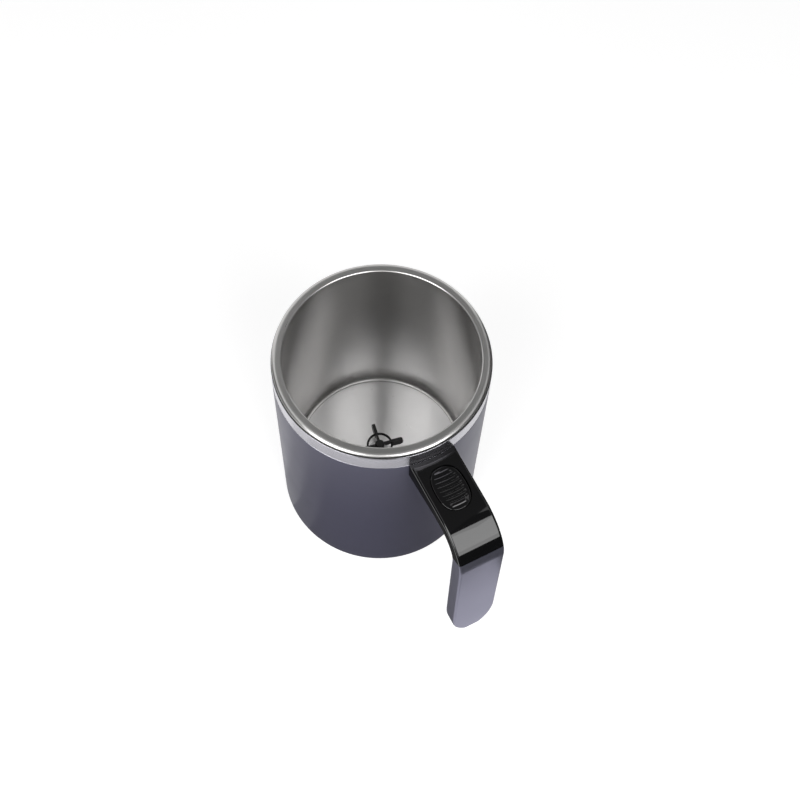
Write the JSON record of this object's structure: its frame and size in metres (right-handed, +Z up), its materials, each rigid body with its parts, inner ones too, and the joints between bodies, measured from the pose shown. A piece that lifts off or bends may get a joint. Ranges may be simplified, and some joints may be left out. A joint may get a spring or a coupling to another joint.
{
  "type": "self-stirring mug",
  "caption": "Double-walled steel mug with a motor-driven stirrer on its floor, a press switch on its open J-shaped handle, and a turn-off battery cover below.",
  "frame": {"origin": "on the mug's axis, at the plane it stands on", "axes": "+Z up along the mug's axis, +X from the mug's axis towards the handle, +Y to the left of the handle"},
  "size_m": [0.1282, 0.085, 0.1084],
  "materials": {
    "brushed_steel": "satin brushed stainless steel",
    "painted_steel": "satin metallic slate paint with a bare brushed band at the top",
    "painted_plastic": "satin metallic paint on plastic",
    "black_gloss": "glossy black plastic",
    "black_plastic": "plain black plastic",
    "rubber": "matt black rubber",
    "plain_steel": "plain turned or drawn steel",
    "brass": "plain brass",
    "copper": "enamelled copper windings",
    "magnet": "dark grey ferrite",
    "board": "green circuit board",
    "cell_jacket": "plain grey cell jacket",
    "red_wire": "red wire insulation",
    "black_wire": "black wire insulation"
  },
  "bodies": {
    "mug": {"inner_cup": "brushed_steel", "outer_shell": "painted_steel", "floor_bush": "plain_steel", "shaft_seal": "rubber", "floor_gasket": "rubber", "bush_nut": "brass", "motor_can": "plain_steel", "motor_end_cap": "black_plastic", "motor_magnet_front": "magnet", "motor_magnet_back": "magnet", "motor_screw_left": "plain_steel", "motor_screw_right": "plain_steel", "base_housing": "black_plastic", "battery_left": "cell_jacket", "battery_right": "cell_jacket", "battery_plate_left": "brass", "battery_plate_right": "brass", "battery_spring_left": "plain_steel", "battery_spring_right": "plain_steel", "handle_frame": "black_gloss", "grip_sleeve": "painted_plastic", "grip_screw": "plain_steel", "handle_under_cover": "black_gloss", "under_cover_screw_near": "plain_steel", "under_cover_screw_far": "plain_steel", "handle_screw_left": "plain_steel", "handle_screw_right": "plain_steel", "button_spring": "plain_steel", "switch_board": "board", "push_switch": "black_plastic", "switch_wire_left": "red_wire", "switch_wire_right": "black_wire"},
    "stirrer": {"stirrer_wheel": "black_plastic", "motor_shaft": "plain_steel", "motor_armature": "copper"},
    "button": {"thumb_button": "black_gloss"},
    "cover": {"bottom_cover": "black_plastic", "cover_seal": "rubber", "non_slip_pad": "rubber"}
  },
  "joints": [
    {"name": "stirrer_spin", "type": "hinge", "parent": "mug", "child": "stirrer", "pos_m": [0, 0, 0.0215], "axis": [0, 0, 1], "continuous": true},
    {"name": "button_press", "type": "slide", "parent": "mug", "child": "button", "axis": [0, 0, -1], "range_m": [0, 0.0015], "stiffness_N_per_m": 900, "springref_m": -0.0006, "deforming": ["button_spring"]},
    {"name": "cover_turn", "type": "hinge", "parent": "mug", "child": "cover", "pos_m": [0, 0, 0], "axis": [0, 0, -1], "range_deg": [0, 25]}
  ]
}
